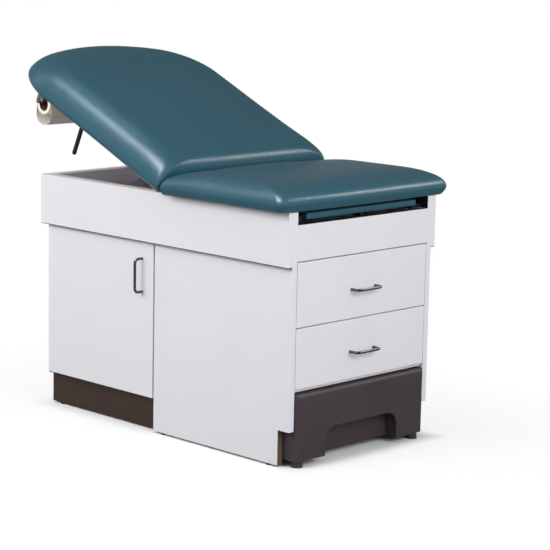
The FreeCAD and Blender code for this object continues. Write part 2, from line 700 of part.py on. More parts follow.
def prop():
    top, low = prop_points()
    y0 = LEG_OFFSET - LEG_THICK / 2
    y1 = LEG_OFFSET + LEG_THICK / 2
    leg = flat_link(top, low, LEG_HALF_WIDTH, y0, y1)
    leg = leg.cut(rod_y(top.x, top.z, 0, y1 + GAP, PROP_PIN_RADIUS + RUN_CLEARANCE))
    leg = leg.cut(rod_y(low.x, low.z, 0, y1 + GAP, PROP_PIN_RADIUS))
    save("prop_legs", *both_sides(leg))
    roller_y = y1 + KNUCKLE_GAP
    end = roller_y + PROP_ROLLER_WIDTH
    save("prop_cross_pin", rod_y(low.x, low.z, -end, end, PROP_PIN_RADIUS))
    roller = rod_y(low.x, low.z, roller_y, end, PROP_ROLLER_RADIUS)
    roller = roller.cut(rod_y(low.x, low.z, 0, end + GAP, PROP_PIN_RADIUS + RUN_CLEARANCE))
    save("prop_rollers", *both_sides(roller))


def prop_bracket():
    # Plate under the backrest board with two ears that hold the pivot pin.
    flat_x = HINGE_X - PROP_SETBACK
    flat_z = TOP_HEIGHT - PROP_DROP
    base = TOP_HEIGHT + BACKREST_LIFT
    ear_y1 = LEG_OFFSET - LEG_THICK / 2 - KNUCKLE_GAP
    ear_y0 = ear_y1 - EAR_THICK
    reach = 2 * LEG_HALF_WIDTH
    bracket = box(flat_x - reach, flat_x + reach, -ear_y1, ear_y1, base - EAR_THICK, base)
    ear = flat_link(V(flat_x, 0, flat_z), V(flat_x, 0, base - EAR_THICK), LEG_HALF_WIDTH, ear_y0, ear_y1)
    ear = ear.cut(box(flat_x - reach, flat_x + reach, 0, ear_y1 + GAP, base, base + reach))
    for side in both_sides(ear):
        bracket = bracket.fuse(side)
    bracket = bracket.cut(rod_y(flat_x, flat_z, -ear_y1 - GAP, ear_y1 + GAP, PROP_PIN_RADIUS))
    save("prop_bracket", raised(bracket))
    pin_end = LEG_OFFSET + LEG_THICK / 2 + GAP
    save("prop_pivot_pin", raised(rod_y(flat_x, flat_z, -pin_end, pin_end, PROP_PIN_RADIUS)))


def foot_run():
    # Where the rollers stand with the backrest flat and fully raised.
    places = []
    for angle in (0.0, math.radians(TOP_ANGLE)):
        rise = PROP_SETBACK * math.sin(angle) - PROP_DROP * math.cos(angle) + TRACK_DROP
        along = PROP_SETBACK * math.cos(angle) + PROP_DROP * math.sin(angle)
        places.append(HINGE_X - along - math.sqrt(PROP_LENGTH ** 2 - rise ** 2))
    return min(places), max(places)


def prop_tracks():
    far, near = foot_run()
    room = PROP_ROLLER_RADIUS + TRACK_END_ROOM
    x0 = far - room
    x1 = near + room
    reach = PROP_ROLLER_RADIUS + TRACK_CLEARANCE
    y0 = LEG_OFFSET + LEG_THICK / 2 + KNUCKLE_GAP
    y1 = y0 + PROP_ROLLER_WIDTH + TRACK_CLEARANCE
    outer = box(x0, x1, y0, y1 + TRACK_SHEET, TRACK_Z - reach - TRACK_SHEET, TRACK_Z + reach + TRACK_SHEET)
    channel = outer.cut(box(x0, x1, y0 - GAP, y1, TRACK_Z - reach, TRACK_Z + reach))
    save("prop_tracks", *both_sides(channel))
    bearer_y = y1 + TRACK_SHEET + GAP
    low = TRACK_Z - reach - TRACK_SHEET
    ends = (x0, x1 - BOARD)
    save("track_bearers", *[box(x, x + BOARD, -bearer_y, bearer_y, TRAY_Z, low) for x in ends])


# Release lever on a cross shaft under the backrest

def release():
    x = HINGE_X - LEVER_SETBACK
    z = TOP_HEIGHT - SHAFT_DROP
    base = TOP_HEIGHT + BACKREST_LIFT
    lever_y = -INNER_Y + LEVER_SIDE_GAP + LEVER_RADIUS
    tip_z = z - LEVER_LENGTH + LEVER_RADIUS
    grip = rod_z(x, lever_y, tip_z, z, LEVER_RADIUS)
    grip = grip.fuse(Part.makeSphere(LEVER_RADIUS, V(x, lever_y, tip_z)))
    grip = grip.fuse(rod_y(x, z, lever_y - LEVER_RADIUS, lever_y + LEVER_RADIUS, SHAFT_RADIUS + BEARING_WALL / 2))
    shaft_y0 = lever_y - LEVER_RADIUS
    shaft_y1 = -LEG_OFFSET - LEG_THICK / 2 - SHAFT_PROP_GAP
    shaft = rod_y(x, z, shaft_y0, shaft_y1, SHAFT_RADIUS)
    save("release_lever", raised(grip.cut(shaft)))
    save("release_shaft", raised(shaft))
    outer = SHAFT_RADIUS + BEARING_WALL
    places = (lever_y + LEVER_RADIUS + GAP, shaft_y1 - BEARING_LENGTH - GAP)
    blocks = []
    for y0 in places:
        block = rod_y(x, z, y0, y0 + BEARING_LENGTH, outer)
        block = block.fuse(box(x - outer, x + outer, y0, y0 + BEARING_LENGTH, z, base))
        bore = rod_y(x, z, y0 - GAP, y0 + BEARING_LENGTH + GAP, SHAFT_RADIUS + RUN_CLEARANCE)
        blocks.append(raised(block.cut(bore)))
    save("shaft_bearings", *blocks)


# Paper roll hanging on a spindle under the head end

def roll_centre():
    return on_backrest(ROLL_SETBACK, -ROLL_DROP)


def paper_roll():
    centre = roll_centre()
    half = ROLL_LENGTH / 2
    bore = CORE_RADIUS - CORE_WALL
    roll = rod_y(centre.x, centre.z, -half, half, ROLL_RADIUS)
    save("paper_roll", roll.cut(rod_y(centre.x, centre.z, -half - GAP, half + GAP, CORE_RADIUS)))
    core = rod_y(centre.x, centre.z, -half, half, CORE_RADIUS)
    save("paper_core", core.cut(rod_y(centre.x, centre.z, -half - GAP, half + GAP, bore)))


def loop_block(shrink, y0, y1):
    # Outline round two circles: the roll above and the slack turn that hangs under it.
    centre = roll_centre()
    r1 = ROLL_RADIUS + SLACK + LOOP_WALL - shrink
    r2 = LOOP_RADIUS - shrink
    lean = math.asin((r2 - r1) / LOOP_SAG)
    c = math.cos(lean)
    s = math.sin(lean)

    def at(drop, u, w):
        return V(centre.x + u, y0, centre.z - drop + w)

    edges = [
        arc(at(0, -r1 * c, r1 * s), at(0, 0, r1), at(0, r1 * c, r1 * s)),
        Part.LineSegment(at(0, r1 * c, r1 * s), at(LOOP_SAG, r2 * c, r2 * s)).toShape(),
        arc(at(LOOP_SAG, r2 * c, r2 * s), at(LOOP_SAG, r2 * 0.8, -r2 * 0.6), at(LOOP_SAG, 0, -r2)),
        arc(at(LOOP_SAG, 0, -r2), at(LOOP_SAG, -r2 * 0.8, -r2 * 0.6), at(LOOP_SAG, -r2 * c, r2 * s)),
        Part.LineSegment(at(LOOP_SAG, -r2 * c, r2 * s), at(0, -r1 * c, r1 * s)).toShape(),
    ]
    return Part.Face(Part.Wire(edges)).extrude(V(0, y1 - y0, 0))


def paper_holder():
    half = ROLL_LENGTH / 2
    loop = loop_block(0, -half, half).cut(loop_block(LOOP_WALL, -half - GAP, half + GAP))
    save("paper_loop", loop)
    centre = roll_centre()
    spindle = V(centre.x, 0, centre.z + CORE_RADIUS - CORE_WALL - SPINDLE_RADIUS - SLACK)
    strap_y0 = half + STRAP_GAP
    strap_y1 = strap_y0 + STRAP_THICK
    end = strap_y1 + GAP
    save("paper_spindle", rod_y(spindle.x, spindle.z, -end, end, SPINDLE_RADIUS))
    width = STRAP_WIDTH / 2
    head = on_backrest(ROLL_SETBACK + STRAP_SETBACK, BACKREST_LIFT - width)
    foot = on_backrest(ROLL_SETBACK + STRAP_SETBACK, -ROLL_DROP)
    cap = raised(box(HINGE_X - BACKREST_LENGTH, HINGE_X, strap_y0 - GAP, strap_y1 + GAP,
                     TOP_HEIGHT + BACKREST_LIFT, TOP_HEIGHT + BACKREST_HEIGHT))
    square = on_backrest(ROLL_SETBACK + STRAP_SETBACK, BACKREST_LIFT)
    strap = flat_link(square, foot, width, strap_y0, strap_y1).cut(cap)
    hook = flat_link(V(spindle.x, 0, spindle.z), (head + foot) * 0.5, width, strap_y0, strap_y1)
    strap = strap.fuse(hook).cut(rod_y(spindle.x, spindle.z, strap_y0 - GAP, strap_y1 + GAP, SPINDLE_RADIUS))
    save("paper_brackets", *both_sides(strap))


os.makedirs("parts", exist_ok=True)
carcass()
kick_boards()
floor_glides()
door()
door_catch()
drawers()
pulls()
step()
leg_rest()
seat()
backrest()
hinges()
prop()
prop_bracket()
prop_tracks()
release()
paper_roll()
paper_holder()
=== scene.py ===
import bmesh
import bpy
import json
import math
from mathutils import Matrix, Vector


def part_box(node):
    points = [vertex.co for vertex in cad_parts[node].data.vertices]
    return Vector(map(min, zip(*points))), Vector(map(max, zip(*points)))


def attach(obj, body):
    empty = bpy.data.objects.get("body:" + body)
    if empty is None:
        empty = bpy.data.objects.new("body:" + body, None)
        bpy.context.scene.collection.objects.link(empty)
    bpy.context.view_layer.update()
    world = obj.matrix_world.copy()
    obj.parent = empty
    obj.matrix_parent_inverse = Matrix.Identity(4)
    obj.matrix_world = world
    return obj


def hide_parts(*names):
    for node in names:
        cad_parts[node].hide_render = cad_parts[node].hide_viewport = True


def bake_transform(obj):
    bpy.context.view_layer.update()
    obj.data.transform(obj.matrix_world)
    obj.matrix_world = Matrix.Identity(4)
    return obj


# Looks of the examination table: soft pads, finishes, studio and camera. Metres, +Z up.

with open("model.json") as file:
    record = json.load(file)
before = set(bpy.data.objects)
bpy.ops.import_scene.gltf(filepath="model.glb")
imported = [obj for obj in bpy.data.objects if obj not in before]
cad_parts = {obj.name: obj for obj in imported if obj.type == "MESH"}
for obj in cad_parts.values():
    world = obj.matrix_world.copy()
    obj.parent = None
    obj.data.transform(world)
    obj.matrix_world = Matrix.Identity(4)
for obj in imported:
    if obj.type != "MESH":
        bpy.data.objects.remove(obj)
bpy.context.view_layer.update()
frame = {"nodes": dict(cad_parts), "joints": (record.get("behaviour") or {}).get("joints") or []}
nodes = frame["nodes"]
scene = bpy.context.scene

tilt = next(joint for joint in frame["joints"] if joint["name"] == "backrest_tilt")
HINGE = Vector(tilt["pos_m"])
REST_ANGLE = math.radians(24)
REST_COS = math.cos(REST_ANGLE)
REST_SIN = math.sin(REST_ANGLE)
MM = 0.001

# Camera of the photograph, taken as 550 pixels square
CAMERA_PLACE = HINGE + Vector((4.043, -3.996, 0.741))
CAMERA_YAW = math.radians(44.40)
CAMERA_PITCH = math.radians(-9.99)
CAMERA_ROLL = math.radians(1.19)
CAMERA_LENS = 129.67
SENSOR = 36.0

# Pads, in their own frame: s runs away from the hinge line, y across, n up from the hinge line
PAD_HALF = 343 * MM  # half width at the widest line
PAD_TUCK = 13 * MM  # how far the side draws in below that line
PAD_WRAP = 24 * MM  # how far the pad reaches past its board
PAD_BOARD = 12 * MM  # depth of the pocket that takes the board
BOARD_START = 9 * MM  # where the board begins
CROWN_POWER = 3.6  # how soon the side levels out into the top
SIDE_REACH = 150 * MM  # how far the crown draws in from the side
SIDE_POWER = 1.5  # how that grows towards the top
SIDE_DRAW = 2 * MM  # how far the side pulls in between its corners
DOME = 6 * MM  # rise of the top's middle
SLACK = 0.3 * MM  # room round the board
POCKET_EDGE = 0.998  # share of the pocket at which a ring keeps its edge sharp
PAD_LEVELS = 2  # levels of subdivision

# Seam between the pads
SEAM_LEAN = math.tan(REST_ANGLE / 2)  # lean of the face that meets the other pad
SEAM_FLOOR = 8.2 * MM  # least distance of that face from the hinge line
SEAM_CLEAR = 0.4 * MM  # room that each pad leaves there
SEAM_CORNER = 8 * MM  # radius of the corners beside the face
SEAM_PINCH = 60 * MM  # how much larger those corners are at the top
SEAM_HOLD = 50 * MM  # stretch that doesn't swell
SEAM_FADE = 130 * MM  # stretch over which the swelling sets in

# Largest corners of an outline, as shares of its length or its half width
SEAM_LENGTH_SHARE = 0.55
END_LENGTH_SHARE = 0.42
WIDTH_SHARE = 0.92

# Rings of points that make up a pad
TUCK_RINGS = 5
CROWN_RINGS = 18
CAP_RINGS = 5

# Rounding where the side turns into the crown
ROLL_PASSES = 2
ROLL_RINGS = 4  # rings of the crown that are rounded
TUCK_KEPT = 2  # rings of the tuck that aren't

# Points along each stretch of half an outline: seam, seam corner, side, end corner, end
STRETCH = (16, 14, 34, 16, 16)
RING_POINTS = 2 * sum(STRETCH)

# Cloth simulation of the pads
SIM_FRAMES = 20
SIM_QUALITY = 6
SIM_MASS = 0.3
SIM_STIFFNESS = 20
SIM_SHEAR = 8
SIM_BENDING = 2
SIM_PRESSURE = 4.0
SIM_SHRINK = 2 * MM  # how much lower a pad starts
SIM_CAP = 4 * MM  # limit of the swelling

# Edges of the leg rest pad
LEG_EDGE = 4 * MM
LEG_EDGE_STEPS = 4


def link_object(name, data):
    obj = bpy.data.objects.new(name, data)
    scene.collection.objects.link(obj)
    return obj


def smooth(obj):
    obj.data.polygons.foreach_set("use_smooth", [True] * len(obj.data.polygons))
    return obj


# Outlines of the pads

class Pad:
    """Sizes of one pad. The end is the foot of the seat, or the head of the backrest.

    length runs from the hinge line to the end, and base is the underside's height above that line.
    height and widest are the heights of the top and of the widest line above the base.
    end_reach and end_power say how far, and how, the crown draws in from the end.
    corner and end_radius are the radii of the end's corners and of its bow.
    sag and sag_reach are the fall of the top at the crease, and the stretch over which it falls.
    roll is the radius of the top's edge at the crease.
    """

    def __init__(self, length, height, widest, end_reach, end_power, corner, end_radius, base,
                 sag, sag_reach, roll):
        self.length = length
        self.height = height
        self.widest = widest
        self.end_reach = end_reach
        self.end_power = end_power
        self.corner = corner
        self.end_radius = end_radius
        self.base = base
        self.sag = sag
        self.sag_reach = sag_reach
        self.roll = roll


def run(start, end, count):
    return [start.lerp(end, i / count) for i in range(count)]


def bend(centre, radius, start, end, count):
    turns = [start + (end - start) * i / count for i in range(count)]
    return [centre + radius * Vector((math.cos(turn), math.sin(turn))) for turn in turns]


def drawn_in(side):
    # The side pulls in a little between its corners.
    for i, point in enumerate(side):
        point.y += SIDE_DRAW * math.sin(math.pi * i / len(side)) ** 2
    return side


def half_outline(seam, outer, half, seam_corner, end_corner, end_radius):
    # From the middle of the seam, round the near side, to the middle of the end.
    room = outer - seam
    seam_radius = min(seam_corner, SEAM_LENGTH_SHARE * room, WIDTH_SHARE * half)
    corner_radius = min(end_corner, END_LENGTH_SHARE * room, WIDTH_SHARE * half)
    sweep = math.asin((half - corner_radius) / (end_radius - corner_radius))
    end_centre = Vector((outer - end_radius, 0))
    corner = end_centre + (end_radius - corner_radius) * Vector((math.cos(sweep), -math.sin(sweep)))
    side_start = seam + seam_radius
    seam_end = seam_radius - half
    seam_run, seam_bend, side_run, end_bend, end_run = STRETCH
    points = run(Vector((seam, 0)), Vector((seam, seam_end)), seam_run)
    points += bend(Vector((side_start, seam_end)), seam_radius, math.pi, 1.5 * math.pi, seam_bend)
    points += drawn_in(run(Vector((side_start, -half)), Vector((corner.x, -half)), side_run))
    points += bend(corner, corner_radius, -math.pi / 2, -sweep, end_bend)
    points += bend(end_centre, end_radius, -sweep, 0, end_run)
    points.append(Vector((outer, 0)))
    return points


def whole_outline(half_points):
    mirrored = [Vector((point.x, -point.y)) for point in half_points[-2:0:-1]]
    return half_points + mirrored


def scaled(outline, share):
    middle = sum(outline, Vector((0, 0))) / len(outline)
    return [middle.lerp(point, share) for point in outline]


# Rings of the pads: each is an outline, its height above the base, and whether the simulation pins it

def pocket_rings(pad):
    # The pocket of the board, from the middle of its floor to its rim.
    pocket = whole_outline(half_outline(
        BOARD_START - SLACK, pad.length - PAD_WRAP + SLACK, PAD_HALF - PAD_WRAP + SLACK,
        SEAM_CORNER, max(SEAM_CORNER, pad.corner - PAD_WRAP), pad.end_radius - PAD_WRAP))
    rings = []
    for i in range(1, CAP_RINGS):
        rings.append((scaled(pocket, i / CAP_RINGS), PAD_BOARD + SLACK, True))
    rings.append((scaled(pocket, POCKET_EDGE), PAD_BOARD + SLACK, True))
    rings.append((pocket, PAD_BOARD + SLACK, True))
    rings.append((pocket, PAD_BOARD - SLACK, True))
    rings.append((pocket, SLACK, True))
    return rings


def tuck_rings(pad):
    # The side, from the underside up to the widest line.
    rings = []
    for i in range(TUCK_RINGS):
        fall = 1 - i / TUCK_RINGS
        tuck = PAD_TUCK * fall ** 2
        outline = half_outline(
            SEAM_FLOOR, pad.length - tuck, PAD_HALF - tuck, SEAM_CORNER, pad.corner, pad.end_radius)
        rings.append((whole_outline(outline), SLACK + (pad.widest - SLACK) * (1 - fall), True))
    return rings


def sagged(pad, s, height):
    # The top falls away towards the crease.
    near = max(0.0, 1 - s / pad.sag_reach)
    return height - pad.sag * (height / pad.height) ** 2 * near ** 2


def crown_rings(pad):
    # From the widest line up and inwards over the top.
    top = pad.height - SIM_SHRINK
    rings = []
    for i in range(CROWN_RINGS + 1):
        share = i / CROWN_RINGS
        height = pad.widest + (top - pad.widest) * (1 - (1 - share) ** CROWN_POWER)
        half = PAD_HALF - SIDE_REACH * share ** SIDE_POWER
        outer = pad.length - pad.end_reach * share ** pad.end_power
        rise = max(0.0, height - (top - pad.roll))
        roll = pad.roll - math.sqrt(max(0.0, pad.roll ** 2 - rise ** 2))
        lean = (pad.base + sagged(pad, 0.0, height)) * SEAM_LEAN + SEAM_CLEAR
        seam = max(SEAM_FLOOR, lean) + roll
        pinch = SEAM_CORNER + SEAM_PINCH * share
        scale = half / PAD_HALF
        outline = half_outline(seam, outer, half, pinch, pad.corner * scale, pad.end_radius * scale)
        rings.append((whole_outline(outline), height, False))
    return rings


def soft_roll(rings, first, last):
    # Rounds the edge where the side turns over into the crown.
    for turn in range(ROLL_PASSES):
        fresh = list(rings)
        for k in range(first, last):
            before, ring, after = rings[k - 1:k + 2]
            trios = zip(before[0], ring[0], after[0])
            outline = [(below + 2 * here + above) / 4 for below, here, above in trios]
            fresh[k] = (outline, (before[1] + 2 * ring[1] + after[1]) / 4, ring[2])
        rings = fresh
    return rings


def dome_rings(outline, height):
    # Closes the top with a low dome.
    rings = []
    for i in range(CAP_RINGS - 1, 0, -1):
        share = i / CAP_RINGS
        rings.append((scaled(outline, share), height + DOME * (1 - share ** 2), False))
    return rings


def pad_rings(pad):
    # All rings, from the middle of the board's pocket to the middle of the top.
    lower = pocket_rings(pad) + tuck_rings(pad)
    widest = len(lower)
    rings = soft_roll(lower + crown_rings(pad), widest - TUCK_RINGS + TUCK_KEPT, widest + ROLL_RINGS)
    outline, height = rings[-1][:2]
    return rings + dome_rings(outline, height)


# Meshes of the pads

def ring_faces(count):
    # Faces between each ring and the next.
    faces = []
    for k in range(count - 1):
        lower = k * RING_POINTS
        upper = lower + RING_POINTS
        for i in range(RING_POINTS):
            j = (i + 1) % RING_POINTS
            faces.append((lower + i, lower + j, upper + j, upper + i))
    return faces


def cap_faces(first):
    # Strips across a ring, with a triangle at either end of it.
    faces = []
    for i in range(RING_POINTS // 2):
        across = dict.fromkeys((i, i + 1, RING_POINTS - i - 1, (RING_POINTS - i) % RING_POINTS))
        faces.append(tuple(first + k for k in across))
    return faces


def face_outwards(mesh):
    work = bmesh.new()
    work.from_mesh(mesh)
    bmesh.ops.recalc_face_normals(work, faces=work.faces)
    work.to_mesh(mesh)
    work.free()


def pad_mesh(name, pad, place):
    # Closed mesh of rings; place turns a point of the pad's own frame into the shared frame.
    rings = pad_rings(pad)
    points = []
    pinned = []
    for outline, height, held in rings:
        if held:
            pinned += range(len(points), len(points) + RING_POINTS)
        points += [place(p.x, p.y, pad.base + sagged(pad, p.x, height)) for p in outline]
    faces = ring_faces(len(rings))
    faces += [face[::-1] for face in cap_faces(0)]
    faces += cap_faces(len(points) - RING_POINTS)
    mesh = bpy.data.meshes.new(name)
    mesh.from_pydata(points, [], faces)
    mesh.validate()
    face_outwards(mesh)
    obj = link_object(name, mesh)
    obj.vertex_groups.new(name="pinned").add(pinned, 1.0, "REPLACE")
    return smooth(obj)


def from_seam(point, unplace):
    # How far a point lies from the face that leans on the other pad.
    s, n = unplace(point)
    return s - max(SEAM_FLOOR, n * SEAM_LEAN)


def hold_seam(obj, unplace):
    # Points near the face that leans on the other pad stay where they are.
    near = [v.index for v in obj.data.vertices if from_seam(v.co, unplace) < SEAM_HOLD]
    obj.vertex_groups["pinned"].add(near, 1.0, "REPLACE")


def evened(moves):
    # Each ring of points swells by its own mean, so that the cover lies taut.
    even = []
    for first in range(0, len(moves), RING_POINTS):
        even += [sum(moves[first:first + RING_POINTS]) / RING_POINTS] * RING_POINTS
    return even


def faded(distance):
    # Nothing at the seam, all of the move further off.
    share = min(1.0, max(0.0, (distance - SEAM_HOLD) / SEAM_FADE))
    return share * share * (3 - 2 * share)


def add_cover(obj):
    # Cloth under pressure, without gravity.
    cloth = obj.modifiers.new("cover", "CLOTH")
    settings = cloth.settings
    settings.quality = SIM_QUALITY
    settings.mass = SIM_MASS
    settings.tension_stiffness = SIM_STIFFNESS
    settings.compression_stiffness = SIM_STIFFNESS
    settings.shear_stiffness = SIM_SHEAR
    settings.bending_stiffness = SIM_BENDING
    settings.use_pressure = True
    settings.uniform_pressure_force = SIM_PRESSURE
    settings.vertex_group_mass = "pinned"
    settings.effector_weights.gravity = 0
    cloth.point_cache.frame_start = 1
    cloth.point_cache.frame_end = SIM_FRAMES
    return cloth


def puff(obj, unplace):
    # Blows the cover up over its foam, and keeps each point near where it began.
    cloth = add_cover(obj)
    for step in range(1, SIM_FRAMES + 1):
        scene.frame_set(step)
    swollen = obj.evaluated_get(bpy.context.evaluated_depsgraph_get()).data
    pairs = zip(obj.data.vertices, swollen.vertices)
    moves = evened([begin.normal.dot(end.co - begin.co) for begin, end in pairs])
    ways = [v.normal.copy() for v in obj.data.vertices]
    # The innermost ring moves in the directions of its neighbour, so that no mark shows there.
    ways[-RING_POINTS:] = ways[-2 * RING_POINTS:-RING_POINTS]
    for vertex, way, move in zip(obj.data.vertices, ways, moves):
        swell = SIM_CAP * move / (SIM_CAP + abs(move))
        vertex.co += way * swell * faded(from_seam(vertex.co, unplace))
    obj.modifiers.remove(cloth)
    scene.frame_set(1)


def subdivide(obj, levels):
    obj.modifiers.new("round", "SUBSURF").levels = levels
    bpy.context.view_layer.update()
    graph = bpy.context.evaluated_depsgraph_get()
    made = bpy.data.meshes.new_from_object(obj.evaluated_get(graph))
    obj.modifiers.clear()
    obj.data = made
    return smooth(obj)


# Seat and backrest pads

def seat_place(s, y, n):
    return HINGE + Vector((s, y, n))


def seat_unplace(point):
    p = point - HINGE
    return p.x, p.z


def backrest_place(s, y, n):
    return HINGE + Vector((-s * REST_COS + n * REST_SIN, y, s * REST_SIN + n * REST_COS))


def backrest_unplace(point):
    p = point - HINGE
    return -p.x * REST_COS + p.z * REST_SIN, p.x * REST_SIN + p.z * REST_COS


# The seat's end has a bow of 9 m, so it is nearly straight.
SEAT = Pad(length=492 * MM, height=73.5 * MM, widest=29 * MM, end_reach=368 * MM, end_power=1.8,
           corner=26 * MM, end_radius=9.0, base=0.0,
           sag=20 * MM, sag_reach=160 * MM, roll=14 * MM)
BACKREST = Pad(length=785 * MM, height=95.5 * MM, widest=20 * MM, end_reach=201 * MM, end_power=1.2,
               corner=190 * MM, end_radius=668 * MM, base=2 * MM,
               sag=13 * MM, sag_reach=100 * MM, roll=26 * MM)


def upholstered(name, pad, place, unplace, node):
    obj = pad_mesh(name, pad, place)
    hold_seam(obj, unplace)
    puff(obj, unplace)
    subdivide(obj, PAD_LEVELS)
    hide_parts(node)
    return obj


seat_pad = upholstered("seat_pad", SEAT, seat_place, seat_unplace, "seat_cushion")
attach(seat_pad, "cabinet")
back_pad = upholstered("backrest_pad", BACKREST, backrest_place, backrest_unplace, "backrest_cushion")
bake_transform(back_pad)


# Leg rest pad: a slab on its board, with a lip down the front

def leg_rest_slab():
    low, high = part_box("leg_rest_pad")
    board_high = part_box("leg_rest_board")[1]
    lip = board_high.x + SLACK
    deck = board_high.z + SLACK
    profile = [
        (low.x, deck), (lip, deck), (lip, low.z),
        (high.x, low.z), (high.x, high.z), (low.x, high.z),
    ]
    count = len(profile)
    points = [(x, y, z) for y in (low.y, high.y) for x, z in profile]
    faces = [tuple(range(count))[::-1], tuple(range(count, 2 * count))]
    for i in range(count):
        j = (i + 1) % count
        faces.append((i, j, count + j, count + i))
    mesh = bpy.data.meshes.new("leg_rest_slab")
    mesh.from_pydata(points, [], faces)
    obj = link_object("leg_rest_slab", mesh)
    bevel = obj.modifiers.new("edges", "BEVEL")
    bevel.width = LEG_EDGE
    bevel.segments = LEG_EDGE_STEPS
    return smooth(obj)


leg_pad = leg_rest_slab()
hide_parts("leg_rest_pad")
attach(leg_pad, "leg_rest")


# Materials

FACING = 0.6  # least part of a normal along an axis, where a face counts as turned that way
SHADE_KEEP = 0.6  # share of its colour that a full shade keeps


class NodeTree:
    """A tree of shader nodes, with helpers that add nodes and links to it."""

    def __init__(self, tree):
        self.tree = tree

    def node(self, kind, **settings):
        made = self.tree.nodes.new(kind)
        for key, value in settings.items():
            setattr(made, key, value)
        return made

    def join(self, source, target):
        self.tree.links.new(source, target)

    def ranged(self, value, low, high, first=0.3, last=0.7, curve="LINEAR"):
        # Takes first to low and last to high. A noise lies mostly between the two defaults.
        node = self.node("ShaderNodeMapRange", interpolation_type=curve)
        for key, number in (("From Min", first), ("From Max", last), ("To Min", low), ("To Max", high)):
            node.inputs[key].default_value = number
        self.join(value, node.inputs["Value"])
        return node.outputs["Result"]

    def math(self, operation, a, b):
        node = self.node("ShaderNodeMath", operation=operation)
        for value, socket in ((a, node.inputs[0]), (b, node.inputs[1])):
            if isinstance(value, (int, float)):
                socket.default_value = value
            else:
                self.join(value, socket)
        return node.outputs["Value"]

    def both(self, a, b):
        return self.math("MULTIPLY", a, b)

    def mixed(self, factor, first, second, output):
        # Ends the tree in a mix of two shaders.
        node = self.node("ShaderNodeMixShader")
        self.join(factor, node.inputs["Fac"])
        self.join(first, node.inputs[1])
        self.join(second, node.inputs[2])
        self.join(node.outputs["Shader"], self.tree.nodes[output].inputs["Surface"])


class Finish(NodeTree):
    """A material built on the principled shader. Its textures use the part's coordinates, in metres."""

    def __init__(self, name, colour, roughness, metallic=0.0):
        self.material = bpy.data.materials.new(name)
        self.material.use_nodes = True
        super().__init__(self.material.node_tree)
        self.shader = self.tree.nodes["Principled BSDF"]
        self.colour = colour
        self.shader.inputs["Base Color"].default_value = (*colour, 1)
        self.shader.inputs["Roughness"].default_value = roughness
        self.shader.inputs["Metallic"].default_value = metallic
        self.coordinates = self.node("ShaderNodeTexCoord")
        self.height = None

    def noise(self, scale, detail=3.0, stretch=(1, 1, 1)):
        mapping = self.node("ShaderNodeMapping")
        mapping.inputs["Scale"].default_value = stretch
        self.join(self.coordinates.outputs["Object"], mapping.inputs["Vector"])
        texture = self.node("ShaderNodeTexNoise")
        texture.inputs["Scale"].default_value = scale
        texture.inputs["Detail"].default_value = detail
        self.join(mapping.outputs["Vector"], texture.inputs["Vector"])
        return texture.outputs["Fac"]

    def grain(self):
        # Streaks along a wooden board.
        return self.noise(scale=6.0, detail=6.0, stretch=(1, 18, 18))

    def cells(self, scale):
        texture = self.node("ShaderNodeTexVoronoi", feature="SMOOTH_F1")
        texture.inputs["Scale"].default_value = scale
        self.join(self.coordinates.outputs["Object"], texture.inputs["Vector"])
        return texture.outputs["Distance"]

    def part_of(self, output, axis):
        split = self.node("ShaderNodeSeparateXYZ")
        self.join(self.coordinates.outputs[output], split.inputs["Vector"])
        return split.outputs[axis]

    def facing(self, axis, sign=1):
        # Faces that are turned along the axis, or against it.
        return self.math("GREATER_THAN", self.math("MULTIPLY", self.part_of("Normal", axis), sign), FACING)

    def beyond(self, axis, middle, half):
        # How far a point lies outside a stretch of the axis; less than nothing inside it.
        node = self.node("ShaderNodeMath", operation="ABSOLUTE")
        self.join(self.math("SUBTRACT", self.part_of("Object", axis), middle), node.inputs[0])
        return self.math("SUBTRACT", node.outputs["Value"], half)

    def within(self, axis, limit):
        # Between limit and its mirror image.
        return self.math("LESS_THAN", self.beyond(axis, 0.0, limit), 0.0)

    def below(self, axis, limit):
        return self.math("LESS_THAN", self.part_of("Object", axis), limit)

    def above(self, axis, limit):
        return self.math("GREATER_THAN", self.part_of("Object", axis), limit)

    def paint(self, factor, colour):
        # Lays another colour over what is there, as far as factor says.
        node = self.node("ShaderNodeMix", data_type="RGBA")
        base = self.shader.inputs["Base Color"]
        if base.is_linked:
            self.join(base.links[0].from_socket, node.inputs["A"])
        else:
            node.inputs["A"].default_value = base.default_value
        node.inputs["B"].default_value = (*colour, 1)
        self.join(factor, node.inputs["Factor"])
        self.join(node.outputs["Result"], base)

    def shade(self, value, amount):
        # Darkens the colour a little where a texture is high.
        self.paint(self.ranged(value, 0.0, amount), tuple(SHADE_KEEP * c for c in self.colour))

    def rough(self, value, low, high):
        self.join(self.ranged(value, low, high), self.shader.inputs["Roughness"])

    def bump(self, value, distance, strength):
        # Adds to the bumps that are there already.
        node = self.node("ShaderNodeBump")
        node.inputs["Distance"].default_value = distance
        node.inputs["Strength"].default_value = strength
        self.join(value, node.inputs["Height"])
        if self.height is not None:
            self.join(self.height, node.inputs["Normal"])
        self.height = node.outputs["Normal"]
        self.join(self.height, self.shader.inputs["Normal"])


